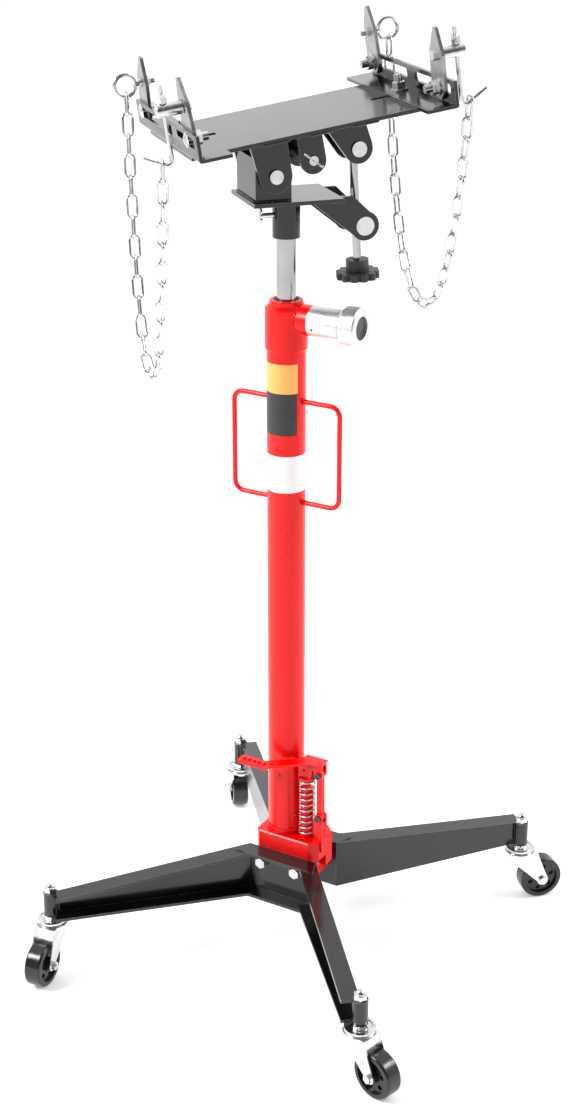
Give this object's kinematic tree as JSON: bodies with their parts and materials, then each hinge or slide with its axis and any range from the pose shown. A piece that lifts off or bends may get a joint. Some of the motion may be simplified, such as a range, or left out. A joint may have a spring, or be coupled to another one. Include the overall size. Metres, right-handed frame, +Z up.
{
  "type": "transmission jack",
  "caption": "High-lift hydraulic transmission jack on four casters, with foot pump, tilting saddle, brackets and chains.",
  "frame": {"origin": "on the floor under the mast axis", "axes": "+Z up along the mast, +X from the mast towards the foot pump and the release knob, +Y to the jack's rear leg frame"},
  "size_m": [0.717, 0.7451, 1.5335],
  "materials": {
    "red_paint": "gloss",
    "black_paint": "satin",
    "zinc": "bright zinc plate",
    "steel": "machined",
    "chrome": "polished",
    "alloy": "satin",
    "black_plastic": "matte",
    "wheel": "gloss",
    "rubber": "matte"
  },
  "bodies": {
    "base": {"base_block": "red_paint", "block_plugs": "zinc", "suction_valve": "steel", "leg_frame_front": "black_paint", "leg_frame_rear": "black_paint", "frame_washers": "black_paint", "frame_bolts": "zinc", "caster_sockets": "black_paint", "caster_stems": "zinc", "reservoir_tube": "red_paint", "pressure_cylinder": "steel", "mast_head": "red_paint", "gland_nut": "red_paint", "oil_seals": "rubber", "carry_handles": "red_paint", "pump_barrel": "red_paint", "lever_link": "red_paint", "lever_pins": "black_paint", "return_spring": "zinc"},
    "ram": {"ram": "chrome", "piston": "steel", "piston_rings": "rubber"},
    "head": {"swivel_tube": "black_paint", "head_plate": "black_paint", "tilt_pin": "zinc"},
    "thumb": {"thumb_screw": "zinc"},
    "saddle": {"saddle_frame": "black_paint", "middle_pin": "zinc", "saddle_plate": "black_paint"},
    "cross_nut": {"cross_nut": "zinc"},
    "screw_swivel": {"screw_swivel": "zinc"},
    "screw": {"adjusting_screw": "zinc", "hand_knob": "black_plastic"},
    "pedal": {"foot_pedal": "red_paint"},
    "plunger": {"pump_plunger": "red_paint"},
    "release": {"release_knob": "alloy", "knob_insert": "black_plastic", "release_spindle": "steel"},
    "bracket_left": {"end_bracket_left": "black_paint", "bracket_bolt_left": "zinc"},
    "bracket_right": {"end_bracket_right": "black_paint", "bracket_bolt_right": "zinc"},
    "finger_left_back": {"finger_left_back": "zinc", "eye_bolt_left": "zinc"},
    "finger_left_front": {"finger_left_front": "zinc", "tension_hook_left": "zinc"},
    "finger_right_back": {"finger_right_back": "zinc", "eye_bolt_right": "zinc"},
    "finger_right_front": {"finger_right_front": "zinc", "tension_hook_right": "zinc"},
    "chain_left": {"chain_left": "zinc"},
    "chain_right": {"chain_right": "zinc"},
    "caster_left": {"caster_fork_left": "zinc"},
    "wheel_left": {"caster_wheel_left": "wheel"},
    "caster_front": {"caster_fork_front": "zinc"},
    "wheel_front": {"caster_wheel_front": "wheel"},
    "caster_right": {"caster_fork_right": "zinc"},
    "wheel_right": {"caster_wheel_right": "wheel"},
    "caster_back": {"caster_fork_back": "zinc"},
    "wheel_back": {"caster_wheel_back": "wheel"}
  },
  "joints": [
    {"name": "caster_swivel_left", "type": "hinge", "parent": "base", "child": "caster_left", "pos_m": [-0.277, -0.3, 0.09], "axis": [0, 0, 1], "continuous": true},
    {"name": "wheel_spin_left", "type": "hinge", "parent": "caster_left", "child": "wheel_left", "pos_m": [-0.27157, -0.33862, 0.038], "axis": [0.9903, 0.1392, 0], "continuous": true},
    {"name": "caster_swivel_front", "type": "hinge", "parent": "base", "child": "caster_front", "pos_m": [0.305, -0.3, 0.09], "axis": [0, 0, 1], "continuous": true},
    {"name": "wheel_spin_front", "type": "hinge", "parent": "caster_front", "child": "wheel_front", "pos_m": [0.3423, -0.3114, 0.038], "axis": [0.2924, 0.9563, 0], "continuous": true},
    {"name": "caster_swivel_right", "type": "hinge", "parent": "base", "child": "caster_right", "pos_m": [0.305, 0.3, 0.09], "axis": [0, 0, 1], "continuous": true},
    {"name": "wheel_spin_right", "type": "hinge", "parent": "caster_right", "child": "wheel_right", "pos_m": [0.33209, 0.32805, 0.038], "axis": [-0.7193, 0.6947, 0], "continuous": true},
    {"name": "caster_swivel_back", "type": "hinge", "parent": "base", "child": "caster_back", "pos_m": [-0.277, 0.3, 0.09], "axis": [0, 0, 1], "continuous": true},
    {"name": "wheel_spin_back", "type": "hinge", "parent": "caster_back", "child": "wheel_back", "pos_m": [-0.30154, 0.33031, 0.038], "axis": [-0.7771, -0.6293, 0], "continuous": true},
    {"name": "lift", "type": "slide", "parent": "base", "child": "ram", "axis": [0, 0, 1], "range_m": [0, 0.8]},
    {"name": "head_swivel", "type": "hinge", "parent": "ram", "child": "head", "pos_m": [0, 0, 1.25], "axis": [0, 0, 1], "continuous": true},
    {"name": "thumb_turn", "type": "hinge", "parent": "head", "child": "thumb", "pos_m": [0, 0, 1.256], "axis": [0.6613, 0.7501, 0], "continuous": true},
    {"name": "saddle_tilt", "type": "hinge", "parent": "head", "child": "saddle", "pos_m": [-0.02182, -0.02475, 1.323], "axis": [0.7501, -0.6613, 0], "range_deg": [-10, 6]},
    {"name": "cross_nut_turn", "type": "hinge", "parent": "head", "child": "cross_nut", "pos_m": [0.07274, 0.08251, 1.239], "axis": [0.7501, -0.6613, 0], "range_deg": [-4, 4]},
    {"name": "screw_travel", "type": "slide", "parent": "cross_nut", "child": "screw_swivel", "axis": [-0.0359, -0.0407, 0.9985], "range_m": [-0.026, 0.016]},
    {"name": "knob_turn", "type": "hinge", "parent": "screw_swivel", "child": "screw", "pos_m": [0.07274, 0.08251, 1.239], "axis": [-0.0359, -0.0407, 0.9985], "range_deg": [-2400, 1500]},
    {"name": "pedal_stroke", "type": "hinge", "parent": "base", "child": "pedal", "pos_m": [0.072, -0.0105, 0.333], "axis": [0, -1, 0], "range_deg": [0, 22], "stiffness_Nm_per_rad": 5.2, "springref_deg": -28.65},
    {"name": "plunger_stroke", "type": "slide", "parent": "base", "child": "plunger", "axis": [0, 0, -1], "range_m": [0, 0.0105], "deforming": ["return_spring"]},
    {"name": "release_turn", "type": "hinge", "parent": "base", "child": "release", "pos_m": [0.09, 0, 1.099], "axis": [1, 0, 0], "range_deg": [0, 90]},
    {"name": "bracket_slide_left", "type": "slide", "parent": "saddle", "child": "bracket_left", "axis": [0.654, 0.7419, 0.1478], "range_m": [0, 0.018]},
    {"name": "bracket_slide_right", "type": "slide", "parent": "saddle", "child": "bracket_right", "axis": [-0.654, -0.7419, -0.1478], "range_m": [0, 0.018]},
    {"name": "finger_slide_left_back", "type": "slide", "parent": "bracket_left", "child": "finger_left_back", "axis": [-0.7501, 0.6613, 0], "range_m": [-0.034, 0.006]},
    {"name": "finger_slide_left_front", "type": "slide", "parent": "bracket_left", "child": "finger_left_front", "axis": [-0.7501, 0.6613, 0], "range_m": [-0.034, 0.006]},
    {"name": "finger_slide_right_back", "type": "slide", "parent": "bracket_right", "child": "finger_right_back", "axis": [-0.7501, 0.6613, 0], "range_m": [-0.028, 0.004]},
    {"name": "finger_slide_right_front", "type": "slide", "parent": "bracket_right", "child": "finger_right_front", "axis": [-0.7501, 0.6613, 0], "range_m": [-0.028, 0.004]},
    {"name": "chain_swing_left", "type": "hinge", "parent": "finger_left_back", "child": "chain_left", "pos_m": [-0.2332, -0.0704, 1.4222], "axis": [0.7088, -0.6621, -0.2433], "range_deg": [-20, 2]},
    {"name": "chain_swing_right", "type": "hinge", "parent": "finger_right_back", "child": "chain_right", "pos_m": [0.0326, 0.2565, 1.4865], "axis": [0.789, -0.5822, -0.1963], "range_deg": [-2, 20]}
  ],
  "couplings": [
    {"joint": "cross_nut_turn", "follows": "saddle_tilt", "ratio": 0.1527},
    {"joint": "screw_travel", "follows": "saddle_tilt", "m_per_rad": 0.13823},
    {"joint": "knob_turn", "follows": "saddle_tilt", "ratio": 217.13},
    {"joint": "plunger_stroke", "follows": "pedal_stroke", "m_per_rad": 0.0263},
    {"joint": "finger_slide_left_front", "follows": "finger_slide_left_back", "ratio": 1},
    {"joint": "finger_slide_right_front", "follows": "finger_slide_right_back", "ratio": 1}
  ]
}
